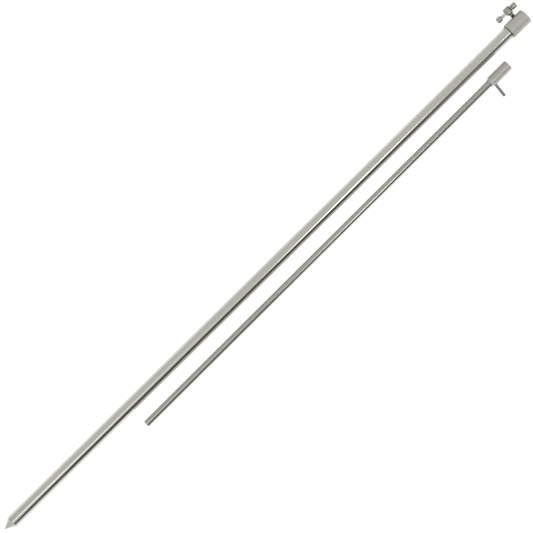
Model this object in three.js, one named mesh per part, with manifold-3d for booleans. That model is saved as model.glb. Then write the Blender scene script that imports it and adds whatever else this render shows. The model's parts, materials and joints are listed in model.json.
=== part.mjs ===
// Telescopic bank stick for angling, in polished stainless steel, with the inner rod drawn out
// and laid beside the outer stick. Millimetres, +Z up, lying on the ground at z = 0.
// +X runs from the spike to the collar, and +Y points to the side of the clamp screw.

import * as THREE from 'three';
import { mergeVertices } from 'three/addons/utils/BufferGeometryUtils.js';
import Module from 'manifold-3d';

// Driving dimensions of the outer stick, measured along +X from the point of the spike
const STICK_LENGTH = 920;
const TUBE_D = 16;
const TUBE_WALL = 1.2;

// Driving dimensions of the inner rod and of where it lies
const ROD_D = 9;
const ROD_WALL = 1;
const ROD_LENGTH = 642;
const ROD_TOP_BELOW_COLLAR_TOP = 59;
const ROD_FOOT_ASIDE = 31;
const ROD_YAW = THREE.MathUtils.degToRad(0.21);

// Clearances: around what is pressed or brazed in, and around what slides or turns
const SEAT_GAP = 0.25;
const RUNNING_GAP = 0.3;

// Spike point
const SPIKE_CONE = 13;
const SPIKE_LAND = 5.5;
const SPIKE_SPIGOT = 20;
const SPIKE_TIP_D = 1;
const SPIKE_TIP_ROUND = 0.5;
const SPIKE_SPIGOT_CHAMFER = 1;

// Collar
const COLLAR_D = 20;
const COLLAR_LENGTH = 32.2;
const COLLAR_SOCKET = 14.7;
const COLLAR_SKIRT = 1.7;
const COLLAR_SKIRT_WALL = 0.35;
const COLLAR_COVE = 1.5;
const COLLAR_FOOT_CHAMFER = 0.4;
const COLLAR_TOP_CHAMFER = 0.8;
const COLLAR_MOUTH_CHAMFER = 0.6;

// Clamp screw, measured outwards along its axis
const SCREW_BELOW_TOP = 12.2;
const STUD_D = 6;
const STUD_SHOWING = 4.9;
const STUD_TIP_CHAMFER = 0.5;
const GRIP_D = 10.5;
const GRIP_LENGTH = 10.2;
const GRIP_FOOT_ROUND = 3;
const GRIP_TOP_ROUND = 2;
const BAR_ABOVE_GRIP_FOOT = 4.6;
const DIMPLE_D = 4.2;
const DIMPLE_DEPTH = 0.6;

// Thrust pad in the tip of the clamp screw
const PAD_OFF_ROD = 0.5;
const PAD_D = 4.8;
const PAD_THICKNESS = 1;
const PAD_STEM_D = 2.4;
const PAD_STEM_LENGTH = 3;
const PAD_EDGE_CHAMFER = 0.2;

// Tommy bar and its end knobs
const BAR_D = 4;
const BAR_TRAVEL = 6.9;
const BAR_UPPER_GAP = 0.55;
const KNOB_D = 7.5;
const KNOB_LENGTH = 7.5;
const KNOB_BORE = 5.5;
const KNOB_OUTER_ROUND = 1.5;
const KNOB_INNER_CHAMFER = 1;
const BAR_END_CHAMFER = 0.4;

// Head of the inner rod
const HEAD_D = 14;
const HEAD_LENGTH = 34.3;
const HEAD_BORE = 14.5;
const HEAD_SKIRT = 1.8;
const HEAD_SKIRT_WALL = 0.4;
const HEAD_COVE = 1.5;
const HEAD_SOCKET_D = 8.4;
const HEAD_SOCKET = 16;
const HEAD_FOOT_CHAMFER = 0.4;
const HEAD_TOP_CHAMFER = 0.6;
const HEAD_MOUTH_CHAMFER = 0.8;

// Side pin: it leans towards the foot and droops until its tip meets the ground
const PIN_D = 3.5;
const PIN_REACH = 25.5;
const PIN_ABOVE_HEAD_FOOT = 6.2;
const PIN_LEAN = THREE.MathUtils.degToRad(4);
const PIN_FAR_WALL_LEFT = 0.9;
const PIN_END_CHAMFER = 0.4;

// Plug in the foot of the inner rod
const PLUG_LENGTH = 10;
const PLUG_EDGE_CHAMFER = 0.4;
const ROD_EDGE_CHAMFER = 0.25;

// How finely round pieces are faceted
const LARGE_SIDES = 48;
const SMALL_SIDES = 24;
const ARC_STEPS = 4;

// How far a cutting body runs past the face that it cuts
const OVERRUN = 2;

const wasm = await Module();
wasm.setup();

// A closed geometry as a solid that can be joined and cut
function solidOf(geometry) {
  const bare = geometry.clone();
  bare.deleteAttribute('normal');
  bare.deleteAttribute('uv');
  const merged = mergeVertices(bare);
  const index = Array.from(merged.index.array);
  const triangles = [];
  for (let i = 0; i < index.length; i += 3) {
    const [a, b, c] = index.slice(i, i + 3);
    if (a !== b && b !== c && c !== a) triangles.push(a, b, c);
  }
  return new wasm.Manifold(new wasm.Mesh({
    numProp: 3,
    vertProperties: new Float32Array(merged.attributes.position.array),
    triVerts: new Uint32Array(triangles),
  }));
}

function geometryOf(solid) {
  const mesh = solid.getMesh();
  const geometry = new THREE.BufferGeometry();
  geometry.setAttribute('position', new THREE.BufferAttribute(mesh.vertProperties, 3));
  geometry.setIndex(new THREE.BufferAttribute(mesh.triVerts, 1));
  geometry.computeVertexNormals();
  return geometry;
}

// A body of revolution along +X. Its outline is a list of [x, radius] pairs in the order of
// rising x on the outside and falling x inside, and ends on the axis or where it began.
function turned(outline, sides) {
  const points = outline.map(([x, radius]) => new THREE.Vector2(radius, x));
  const geometry = new THREE.LatheGeometry(points, sides);
  return solidOf(geometry.rotateZ(-Math.PI / 2));
}

// A plain round bar along +X from one x to another, for bores and pins
function roundBar(from, to, diameter, sides) {
  const radius = diameter / 2;
  return turned([[from, 0], [from, radius], [to, radius], [to, 0]], sides);
}

// Quarter of an ellipse in an outline, from [x0, r0] to [x1, r1]. It leaves its first point
// straight across the axis and reaches its last point along it, or the other way round.
function quarter([x0, r0], [x1, r1], leavesAcross) {
  const points = [];
  for (let i = 0; i <= ARC_STEPS; i++) {
    const angle = (i / ARC_STEPS) * Math.PI / 2;
    const slow = 1 - Math.cos(angle);
    const fast = Math.sin(angle);
    points.push(leavesAcross
      ? [x0 + (x1 - x0) * slow, r0 + (r1 - r0) * fast]
      : [x0 + (x1 - x0) * fast, r0 + (r1 - r0) * slow]);
  }
  return points;
}

function turnedBy(solid, matrix) {
  return solidOf(geometryOf(solid).applyMatrix4(matrix));
}

const polished = { color: 0xb9b9b3, metalness: 1, roughness: 0.18 };
const turnedSteel = { color: 0xb2b2ac, metalness: 1, roughness: 0.28 };
const brass = { color: 0xc9a557, metalness: 1, roughness: 0.35 };

function piece(name, solid, look) {
  const mesh = new THREE.Mesh(geometryOf(solid), new THREE.MeshStandardMaterial(look));
  mesh.name = name;
  return mesh;
}

// Outer tube, from the spike's land into the collar's socket
function outerTube() {
  const outer = TUBE_D / 2;
  const bore = outer - TUBE_WALL;
  const foot = SPIKE_CONE + SPIKE_LAND + SEAT_GAP;
  const top = STICK_LENGTH - COLLAR_LENGTH + COLLAR_SOCKET - SEAT_GAP;
  const outline = [[foot, bore], [foot, outer], [top, outer], [top, bore], [foot, bore]];
  return turned(outline, LARGE_SIDES);
}

// Solid point: a cone with a blunted tip, a short land as wide as the tube, and a spigot
function spikePoint() {
  const land = TUBE_D / 2;
  const spigot = land - TUBE_WALL - SEAT_GAP;
  const shoulder = SPIKE_CONE + SPIKE_LAND;
  const end = shoulder + SPIKE_SPIGOT;
  return turned([
    ...quarter([0, 0], [SPIKE_TIP_ROUND, SPIKE_TIP_D / 2], true),
    [SPIKE_CONE, land],
    [shoulder, land],
    [shoulder, spigot],
    [end - SPIKE_SPIGOT_CHAMFER, spigot],
    [end, spigot - SPIKE_SPIGOT_CHAMFER],
    [end, 0],
  ], LARGE_SIDES);
}

// Foot of a turned collar or head: a thin skirt round its bore, then a cove and a chamfer that
// lead out to the full radius
function skirtedFoot(foot, bore, outer, { wall, skirt, cove, chamfer }) {
  const coveStart = foot + skirt;
  const coveEnd = coveStart + cove;
  return [
    [foot, bore],
    [foot, bore + wall],
    ...quarter([coveStart, bore + wall], [coveEnd, outer - chamfer], false),
    [coveEnd + chamfer, outer],
  ];
}

// Collar: a socket for the tube from below, a guide bore for the rod from above, and a side
// hole for the clamp screw
function collar() {
  const outer = COLLAR_D / 2;
  const socket = TUBE_D / 2 + SEAT_GAP;
  const guide = ROD_D / 2 + RUNNING_GAP;
  const foot = STICK_LENGTH - COLLAR_LENGTH;
  const top = STICK_LENGTH;
  const body = turned([
    ...skirtedFoot(foot, socket, outer, {
      wall: COLLAR_SKIRT_WALL, skirt: COLLAR_SKIRT, cove: COLLAR_COVE, chamfer: COLLAR_FOOT_CHAMFER,
    }),
    [top - COLLAR_TOP_CHAMFER, outer],
    [top, outer - COLLAR_TOP_CHAMFER],
    [top, guide + COLLAR_MOUTH_CHAMFER],
    [top - COLLAR_MOUTH_CHAMFER, guide],
    [foot + COLLAR_SOCKET, guide],
    [foot + COLLAR_SOCKET, socket],
    [foot, socket],
  ], LARGE_SIDES);
  const towardsScrew = new THREE.Matrix4().makeRotationZ(Math.PI / 2);
  towardsScrew.setPosition(STICK_LENGTH - SCREW_BELOW_TOP, 0, 0);
  const hole = roundBar(0, outer + OVERRUN, STUD_D + 2 * RUNNING_GAP, SMALL_SIDES);
  return body.subtract(turnedBy(hole, towardsScrew));
}

// Places along the clamp screw's axis, outwards from the axis of the tube
const PAD_FACE = ROD_D / 2 + PAD_OFF_ROD;
const STUD_TIP = PAD_FACE + PAD_THICKNESS + SEAT_GAP;
const GRIP_FOOT = COLLAR_D / 2 + STUD_SHOWING;
const BAR_OUT = GRIP_FOOT + BAR_ABOVE_GRIP_FOOT;

// Brass pad with a stem that swivels in the tip of the screw
function thrustPad() {
  const face = PAD_D / 2;
  const stem = PAD_STEM_D / 2;
  const back = PAD_FACE + PAD_THICKNESS;
  return turned([
    [PAD_FACE, 0],
    [PAD_FACE, face - PAD_EDGE_CHAMFER],
    [PAD_FACE + PAD_EDGE_CHAMFER, face],
    [back, face],
    [back, stem],
    [back + PAD_STEM_LENGTH - PAD_EDGE_CHAMFER, stem],
    [back + PAD_STEM_LENGTH, stem - PAD_EDGE_CHAMFER],
    [back + PAD_STEM_LENGTH, 0],
  ], SMALL_SIDES);
}

// Clamp screw in one piece: threaded stud, and a rounded grip with the bar's cross bore and a
// shallow dimple at right angles to it
function clampScrew() {
  const stud = STUD_D / 2;
  const stemBore = PAD_STEM_D / 2 + RUNNING_GAP;
  const stemBoreEnd = PAD_FACE + PAD_THICKNESS + PAD_STEM_LENGTH + RUNNING_GAP;
  const grip = GRIP_D / 2;
  const gripTop = GRIP_FOOT + GRIP_LENGTH;
  const body = turned([
    [stemBoreEnd, 0],
    [stemBoreEnd, stemBore],
    [STUD_TIP, stemBore],
    [STUD_TIP, stud - STUD_TIP_CHAMFER],
    [STUD_TIP + STUD_TIP_CHAMFER, stud],
    ...quarter([GRIP_FOOT, stud], [GRIP_FOOT + GRIP_FOOT_ROUND, grip], true),
    ...quarter([gripTop - GRIP_TOP_ROUND, grip], [gripTop, grip - GRIP_TOP_ROUND], false),
    [gripTop, 0],
  ], SMALL_SIDES);

  const acrossGrip = grip + OVERRUN;
  const alongBar = new THREE.Matrix4().makeRotationZ(Math.PI / 2);
  alongBar.setPosition(BAR_OUT, 0, 0);
  const barBore = roundBar(-acrossGrip, acrossGrip, BAR_D + 2 * RUNNING_GAP, SMALL_SIDES);

  // The dimple is the cap of a sphere, sunk by its depth into the top of the grip
  const rim = DIMPLE_D / 2;
  const sphereRadius = (rim * rim + DIMPLE_DEPTH * DIMPLE_DEPTH) / (2 * DIMPLE_DEPTH);
  const gripAtRim = Math.sqrt(grip * grip - rim * rim);
  const sphere = new THREE.SphereGeometry(sphereRadius, SMALL_SIDES, SMALL_SIDES / 2);
  sphere.rotateX(Math.PI / 2);
  sphere.translate(BAR_OUT, 0, gripAtRim - DIMPLE_DEPTH + sphereRadius);
  return body.subtract(turnedBy(barBore, alongBar)).subtract(solidOf(sphere));
}

// Places along the tommy bar, from the axis of the clamp screw, at rest
const UPPER_KNOB_FACE = GRIP_D / 2 + BAR_UPPER_GAP;
const LOWER_KNOB_FACE = UPPER_KNOB_FACE - GRIP_D - BAR_TRAVEL;

function tommyBar() {
  const radius = BAR_D / 2;
  const lower = LOWER_KNOB_FACE - KNOB_BORE + SEAT_GAP;
  const upper = UPPER_KNOB_FACE + KNOB_BORE - SEAT_GAP;
  return turned([
    [lower, 0],
    [lower, radius - BAR_END_CHAMFER],
    [lower + BAR_END_CHAMFER, radius],
    [upper - BAR_END_CHAMFER, radius],
    [upper, radius - BAR_END_CHAMFER],
    [upper, 0],
  ], SMALL_SIDES);
}

// End knob with its inner face at x = 0 and its rounded end at +X
function barKnob() {
  const outer = KNOB_D / 2;
  const bore = BAR_D / 2 + SEAT_GAP;
  return turned([
    [KNOB_BORE, 0],
    [KNOB_BORE, bore],
    [0, bore],
    [0, outer - KNOB_INNER_CHAMFER],
    [KNOB_INNER_CHAMFER, outer],
    ...quarter([KNOB_LENGTH - KNOB_OUTER_ROUND, outer], [KNOB_LENGTH, outer - KNOB_OUTER_ROUND], false),
    [KNOB_LENGTH, 0],
  ], SMALL_SIDES);
}

// Places along the inner rod, measured from its cut foot
const HEAD_FOOT = ROD_LENGTH - HEAD_LENGTH;
const PIN_PLACE = HEAD_FOOT + PIN_ABOVE_HEAD_FOOT;

// How far the pin droops for the rim of its end to meet the ground on which the head lies.
// The rim is a circle round the pin, and the pin's own fall is the sine of fallAngle.
function droopToGround() {
  const along = PIN_REACH - PIN_END_CHAMFER;
  const rim = PIN_D / 2;
  const fallAngle = Math.asin(HEAD_D / 2 / Math.hypot(along, rim)) - Math.atan2(rim, along);
  return Math.asin(Math.sin(fallAngle) / Math.cos(PIN_LEAN));
}

// Turns +X to the pin's own direction: sideways, leaning to the foot and drooping
function pinDirection() {
  const lean = new THREE.Matrix4().makeRotationZ(-Math.PI / 2 - PIN_LEAN);
  const droop = new THREE.Matrix4().makeRotationX(droopToGround());
  return droop.multiply(lean).setPosition(PIN_PLACE, 0, 0);
}

// Body of the pin along its own axis, with a gap all round where it cuts its seat
function pinBody(gap) {
  const radius = PIN_D / 2 + gap;
  const far = HEAD_D / 2 - PIN_FAR_WALL_LEFT + gap;
  const pin = turned([
    [-far, 0],
    [-far, radius - PIN_END_CHAMFER],
    [PIN_END_CHAMFER - far, radius],
    [PIN_REACH - PIN_END_CHAMFER, radius],
    [PIN_REACH, radius - PIN_END_CHAMFER],
    [PIN_REACH, 0],
  ], SMALL_SIDES);
  return turnedBy(pin, pinDirection());
}

// Tube of the inner rod, drilled through for the pin
function innerRod() {
  const outer = ROD_D / 2;
  const bore = outer - ROD_WALL;
  const top = HEAD_FOOT + HEAD_BORE - SEAT_GAP;
  const body = turned([
    [0, bore],
    [0, outer - ROD_EDGE_CHAMFER],
    [ROD_EDGE_CHAMFER, outer],
    [top, outer],
    [top, bore],
    [0, bore],
  ], LARGE_SIDES);
  return body.subtract(pinBody(SEAT_GAP));
}

function rodFootPlug() {
  const radius = ROD_D / 2 - ROD_WALL - SEAT_GAP;
  return turned([
    [0, 0],
    [0, radius - PLUG_EDGE_CHAMFER],
    [PLUG_EDGE_CHAMFER, radius],
    [PLUG_LENGTH - PLUG_EDGE_CHAMFER, radius],
    [PLUG_LENGTH, radius - PLUG_EDGE_CHAMFER],
    [PLUG_LENGTH, 0],
  ], SMALL_SIDES);
}

// Head: bored from below for the rod, with a blind socket in its top and a slanted pin hole
function rodHead() {
  const outer = HEAD_D / 2;
  const bore = ROD_D / 2 + SEAT_GAP;
  const socket = HEAD_SOCKET_D / 2;
  const foot = HEAD_FOOT;
  const top = ROD_LENGTH;
  const body = turned([
    [foot + HEAD_BORE, 0],
    [foot + HEAD_BORE, bore],
    ...skirtedFoot(foot, bore, outer, {
      wall: HEAD_SKIRT_WALL, skirt: HEAD_SKIRT, cove: HEAD_COVE, chamfer: HEAD_FOOT_CHAMFER,
    }),
    [top - HEAD_TOP_CHAMFER, outer],
    [top, outer - HEAD_TOP_CHAMFER],
    [top, socket + HEAD_MOUTH_CHAMFER],
    [top - HEAD_MOUTH_CHAMFER, socket],
    [top - HEAD_SOCKET, socket],
    [top - HEAD_SOCKET, 0],
  ], LARGE_SIDES);
  return body.subtract(pinBody(SEAT_GAP));
}

// Clamp, built along +X and turned to point out of the collar's side, towards +Y
const clamp = new THREE.Group();
clamp.position.set(STICK_LENGTH - SCREW_BELOW_TOP, 0, 0);
clamp.rotation.z = Math.PI / 2;
clamp.add(piece('thrust_pad', thrustPad(), brass));
clamp.add(piece('clamp_screw', clampScrew(), turnedSteel));

// Tommy bar across the screw, parallel to the tube, with its knobs
const bar = new THREE.Group();
bar.position.set(BAR_OUT, 0, 0);
bar.rotation.z = -Math.PI / 2;
bar.add(piece('tommy_bar', tommyBar(), polished));
const upperKnob = piece('bar_knob_upper', barKnob(), turnedSteel);
upperKnob.position.x = UPPER_KNOB_FACE;
const lowerKnob = piece('bar_knob_lower', barKnob(), turnedSteel);
lowerKnob.position.x = LOWER_KNOB_FACE;
lowerKnob.rotation.z = Math.PI;
bar.add(upperKnob, lowerKnob);
clamp.add(bar);

// Outer stick, lying on its collar
const outerStick = new THREE.Group();
outerStick.position.z = COLLAR_D / 2;
outerStick.add(piece('outer_tube', outerTube(), polished));
outerStick.add(piece('spike_point', spikePoint(), turnedSteel));
outerStick.add(piece('collar', collar(), turnedSteel));
outerStick.add(clamp);

// Inner rod, lying beside it on its head, a little nearer to it at the head than at the foot
const rod = new THREE.Group();
rod.position.set(STICK_LENGTH - ROD_TOP_BELOW_COLLAR_TOP - ROD_LENGTH, -ROD_FOOT_ASIDE, HEAD_D / 2);
rod.rotation.z = ROD_YAW;
rod.add(piece('inner_rod', innerRod(), polished));
rod.add(piece('rod_foot_plug', rodFootPlug(), turnedSteel));
rod.add(piece('rod_head', rodHead(), turnedSteel));
rod.add(piece('side_pin', pinBody(0), polished));

// Origin below the middle of the whole set, on the ground
const stick = new THREE.Group();
stick.add(outerStick, rod);
const box = new THREE.Box3().setFromObject(stick, true);
const centre = box.getCenter(new THREE.Vector3());
stick.position.set(-centre.x, -centre.y, -box.min.z);

const group = new THREE.Group();
group.add(stick);

export default group;
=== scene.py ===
# %% [markdown]
# # A telescopic bank stick in polished stainless steel
#
# An angler pushes the spike into the bank, draws the inner rod out of the tube to the height that
# is wanted, and locks it with the clamp screw. A rod rest or a bite alarm screws into the rod's
# head. Here the rod has been drawn right out and lies beside the tube.
#
# The sizes and the joints come from a finished model, which is loaded first and stays as it is.
# This lesson puts a finer surface over each of its pieces, gives each one its metal, and lights
# them. All of the pieces are turned on a lathe, so most of the lesson is about one shape, the
# surface of revolution, and about how polished and satin steel differ.
#
# Lengths are written in millimetres, and turn into the scene's metres only where a mesh, a lamp or
# a node takes them.

# %% Load the frame
import json
import bpy
import numpy as np
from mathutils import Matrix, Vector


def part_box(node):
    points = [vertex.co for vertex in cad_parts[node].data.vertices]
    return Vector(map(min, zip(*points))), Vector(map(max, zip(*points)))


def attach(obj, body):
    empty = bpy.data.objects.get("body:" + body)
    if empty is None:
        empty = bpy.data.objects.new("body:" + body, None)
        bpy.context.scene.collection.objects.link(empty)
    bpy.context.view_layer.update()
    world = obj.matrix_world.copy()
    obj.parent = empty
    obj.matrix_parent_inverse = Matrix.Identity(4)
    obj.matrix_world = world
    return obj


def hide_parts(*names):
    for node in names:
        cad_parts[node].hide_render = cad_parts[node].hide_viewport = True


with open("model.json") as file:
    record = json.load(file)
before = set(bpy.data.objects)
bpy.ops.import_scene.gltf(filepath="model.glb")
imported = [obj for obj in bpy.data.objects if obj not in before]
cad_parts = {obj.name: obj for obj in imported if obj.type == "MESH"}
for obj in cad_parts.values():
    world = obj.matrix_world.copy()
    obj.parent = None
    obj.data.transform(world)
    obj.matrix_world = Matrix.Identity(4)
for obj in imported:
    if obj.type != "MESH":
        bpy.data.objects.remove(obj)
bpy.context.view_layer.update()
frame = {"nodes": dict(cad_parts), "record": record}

MM = 0.001


def in_mm(vector):
    """A point or a size in metres as an array in millimetres."""
    return np.array(vector, float) / MM


def box_mm(node):
    """Lowest corner, highest corner and centre of one of the model's pieces, in millimetres."""
    low, high = map(in_mm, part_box(node))
    return low, high, (low + high) / 2


print("pieces in the model:", ", ".join(sorted(frame["nodes"])))

# %% [markdown]
# ## The camera
#
# The photograph was taken from straight above, from far enough away that the tube hardly tapers.
# The stick runs along the picture's diagonal. The camera could be tilted and the object left
# square, but a camera that looks straight down and is only turned about its own axis keeps every
# length in the picture at one scale: 1.26 mm for each pixel of a 533 pixel square. The lens follows
# from that: its length is to the sensor's width as the camera's distance is to the picture's width.

# %% Camera
PICTURE_WIDTH_PX = 533
MM_PER_PIXEL = 1.2581
CAMERA_ABOVE_TUBE = 2576
SENSOR_WIDTH = 36
CAMERA_TURN_DEG = -44.6
CAMERA_FROM_TIP = (465.8, 4.1)

tube_low, tube_high, tube_centre = box_mm("outer_tube")
spike_low, spike_high, _ = box_mm("spike_point")

camera = bpy.data.objects.new("camera", bpy.data.cameras.new("camera"))
bpy.context.scene.collection.objects.link(camera)
camera.data.sensor_width = SENSOR_WIDTH
camera.data.lens = SENSOR_WIDTH * CAMERA_ABOVE_TUBE / (PICTURE_WIDTH_PX * MM_PER_PIXEL)
camera.location = np.array([spike_low[0] + CAMERA_FROM_TIP[0], tube_centre[1] + CAMERA_FROM_TIP[1],
                            tube_centre[2] + CAMERA_ABOVE_TUBE]) * MM
camera.rotation_euler = (0, 0, np.radians(CAMERA_TURN_DEG))
bpy.context.scene.camera = camera
bpy.context.scene.view_settings.view_transform = "Standard"
print(f"lens {camera.data.lens:.1f} mm, {CAMERA_ABOVE_TUBE} mm above the tube's axis")

# %% [markdown]
# ## Nodes and colours
#
# A material is a small graph of nodes. Written out call by call it fills pages, so one helper adds
# a node with its settings and its links, and every material below is a few lines of it. Colours are
# written as sRGB hex values, as a picture program shows them, and one function turns them into the
# linear numbers that a renderer works with.

# %% Helpers for materials
def linear(colour):
    """An sRGB hex colour such as "#DEDDD8" as linear red, green, blue and alpha.

    The sRGB curve is v / 12.92 for a dark v, and ((v + 0.055) / 1.055) ^ 2.4 for any other.
    """
    share = np.array([int(colour[i:i + 2], 16) for i in (1, 3, 5)]) / 255
    curve = np.where(share <= 0.04045, share / 12.92, ((share + 0.055) / 1.055) ** 2.4)
    return (*curve.tolist(), 1.0)


def add(tree, kind, inputs=None, **settings):
    """Adds a node. inputs maps a socket's name or number to a value or to the socket feeding it."""
    node = tree.nodes.new(kind)
    for name, value in settings.items():
        setattr(node, name, value)
    for socket, value in (inputs or {}).items():
        if isinstance(value, bpy.types.NodeSocket):
            tree.links.new(value, node.inputs[socket])
        else:
            node.inputs[socket].default_value = value
    return node


def new_material(name):
    """An empty material, with its node tree and its output node."""
    material = bpy.data.materials.new(name)
    material.use_nodes = True
    material.node_tree.nodes.clear()
    return material, material.node_tree, add(material.node_tree, "ShaderNodeOutputMaterial")


print("mid grey as linear light:", round(linear("#BCBCBC")[0], 3))

# %% [markdown]
# ## The studio
#
# Polished steel has no colour of its own to speak of: it shows its surroundings. So the studio is
# laid out for what the tube will mirror. Seen from above, its middle mirrors the ceiling, and its
# two flanks mirror the walls and then the floor.
#
# The room is a plain pale grey. The floor could be made white with more light, but that light would
# fall on the steel too. So it is white where the camera or the steel looks at it, and under that it
# stays an ordinary matt floor, which still takes a soft shadow.

# %% Room and floor
ROOM_GREY = "#E2E2E0"
FLOOR_WHITE = "#F2F2F2"
FLOOR_GLOW = 0.9
FLOOR_SHADED = "#8C8C8C"
FLOOR_HALF_WIDTH = 7000

world = bpy.data.worlds.new("studio")
world.use_nodes = True
world.node_tree.nodes.clear()
room = add(world.node_tree, "ShaderNodeBackground", {"Color": linear(ROOM_GREY), "Strength": 1.0})
add(world.node_tree, "ShaderNodeOutputWorld", {"Surface": room.outputs[0]})
bpy.context.scene.world = world


def flat_sheet(name, corners):
    """A four-cornered sheet of the studio, its corners in millimetres."""
    mesh = bpy.data.meshes.new(name)
    mesh.from_pydata((np.array(corners) * MM).tolist(), [], [(0, 1, 2, 3)])
    sheet = bpy.data.objects.new(name, mesh)
    bpy.context.scene.collection.objects.link(sheet)
    return sheet


def floor_paper():
    """White background paper: matt, but seen at full white by the camera and by the steel."""
    material, tree, out = new_material("white_paper")
    path = add(tree, "ShaderNodeLightPath").outputs
    seen = add(tree, "ShaderNodeMath", {0: path["Is Camera Ray"], 1: path["Is Glossy Ray"]},
               operation="MAXIMUM")
    seen = add(tree, "ShaderNodeMath", {0: seen.outputs[0], 1: path["Is Transmission Ray"]},
               operation="MAXIMUM")
    matt = add(tree, "ShaderNodeBsdfDiffuse", {"Color": linear(FLOOR_WHITE)})
    shaded = add(tree, "ShaderNodeBsdfDiffuse", {"Color": linear(FLOOR_SHADED)})
    glow = add(tree, "ShaderNodeEmission", {"Color": (1, 1, 1, 1), "Strength": FLOOR_GLOW})
    white = add(tree, "ShaderNodeAddShader", {0: shaded.outputs[0], 1: glow.outputs[0]})
    mix = add(tree, "ShaderNodeMixShader", {0: seen.outputs[0], 1: matt.outputs[0],
                                            2: white.outputs[0]})
    tree.links.new(mix.outputs[0], out.inputs["Surface"])
    return material


reach = FLOOR_HALF_WIDTH
floor = flat_sheet("floor", [(-reach, -reach, 0), (reach, -reach, 0),
                             (reach, reach, 0), (-reach, reach, 0)])
floor.data.materials.append(floor_paper())
print("floor:", 2 * FLOOR_HALF_WIDTH * MM, "m square")

# %% [markdown]
# Bright steel on a white ground would fade away, so a long dark card stands beside it, and draws
# the dark line along its flank. The line could be painted on the metal, but a painted line would
# turn with the rod, and a mirrored one stays on the card's side, as it should. The card's low edge
# rises towards the spike and meets the floor further along, as the line does, and where it ends a
# paler card takes over. Two more cards stand past the stick's ends: a pale one keeps the flank by
# the spike from burning out, and a dark one shades the end faces of the collar and the head.
#
# The cards and the lamps are there for the steel and not for the camera.

# %% Cards
CARDS = {  # name: colour, then each end's x and y and the heights of its low and high edge
    "side_card": ("#6C6B61", (-1250, -3200, 450, 5000), (700, -3200, 0, 3700)),
    "far_side_card": ("#9B9A90", (700, -3200, 0, 3900), (1300, -3200, 0, 4300)),
    "tip_card": ("#F2F1ED", (-3000, 1500, 0, 1900), (-740, 1500, 0, 1900)),
    "top_card": ("#33322B", (2600, -900, 0, 1000), (2600, 900, 0, 1000)),
}


def card_board(name, grey):
    """Plain matt card: the darker it is, the less of the room's light it sends back."""
    material, tree, out = new_material(name)
    matt = add(tree, "ShaderNodeBsdfDiffuse", {"Color": linear(grey)})
    tree.links.new(matt.outputs[0], out.inputs["Surface"])
    return material


for name, (grey, *ends) in CARDS.items():
    (x0, y0, low0, high0), (x1, y1, low1, high1) = ends
    card = flat_sheet(name, [(x0, y0, low0), (x1, y1, low1), (x1, y1, high1), (x0, y0, high0)])
    card.data.materials.append(card_board(name, grey))
    card.visible_camera = False
    rise = [round(np.degrees(np.arctan2(high, np.hypot(x, y)))) for x, y, _, high in ends]
    print(f"{name} rises to {rise[0]} and {rise[1]} degrees above the floor at its two ends")

# %% [markdown]
# The gleam beside the dark line is a lamp. One long strip would be the simple way, but the gleam is
# bright near the spike, fades over the middle and starts again further on, so there are four lamps
# above the card, each with a brightness of its own. The last of them lights the clamp. A flat lamp
# of area A that looks as bright as L gives off pi L A watts.

# %% Lamps
LAMP_DISTANCE = 2000
LAMPS = {  # name: place along the tube, tilt and turn in degrees, length, width, brightness
    "tip_lamp": (-700, 9, 38, 460, 550, 0.7),
    "long_lamp": (-460, 9, 38, 830, 550, 0.33),
    "short_lamp": (250, 25, 55, 520, 380, 3.0),
    "end_lamp": (935, 25, 0, 340, 600, 4.2),
}

for name, (place, tilt_deg, turn_deg, length, width, brightness) in LAMPS.items():
    lamp = bpy.data.objects.new(name, bpy.data.lights.new(name, "AREA"))
    bpy.context.scene.collection.objects.link(lamp)
    tilt = np.radians(tilt_deg)
    lamp.data.shape = "RECTANGLE"
    lamp.data.size = length * MM
    lamp.data.size_y = width * MM
    lamp.data.energy = brightness * np.pi * lamp.data.size * lamp.data.size_y
    lamp.location = np.array([place, tube_centre[1] - LAMP_DISTANCE * np.sin(tilt),
                              LAMP_DISTANCE * np.cos(tilt)]) * MM
    lamp.rotation_euler = (-tilt, 0, np.radians(turn_deg))
    lamp.visible_camera = False
    print(f"{name} gives off {lamp.data.energy:.2f} W")

# %% [markdown]
# ## Turned parts
#
# A lathe can only make surfaces of revolution, so a turned part is fully told by its outline: half
# of its lengthwise section. In Blender that could be a Screw modifier on a bent wire. Worked out
# with numpy it is one short formula, the outline's corners stay readable numbers in millimetres,
# and the same formula takes a thread later on.
#
# No real edge is a perfect corner. A turner breaks each one, and that small round is what catches
# the light, so every corner of an outline has an ease: how far from the corner the round begins.
# Two rounds that share a side may each take up a little less than half of it.

# %% Outlines with eased corners
ROUND_STEPS = 8
HELD_RING = 0.2
BROKEN_EDGE = 0.2
FINE_EDGE = 0.1
ROUND_SHARE = 0.48
HELD_SHARE = 0.49


def corner(place, radius, ease=BROKEN_EDGE, after=None):
    """One corner of an outline: its place on the axis, its radius, and where its round begins."""
    return (place, radius, ease, ease if after is None else after)


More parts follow.
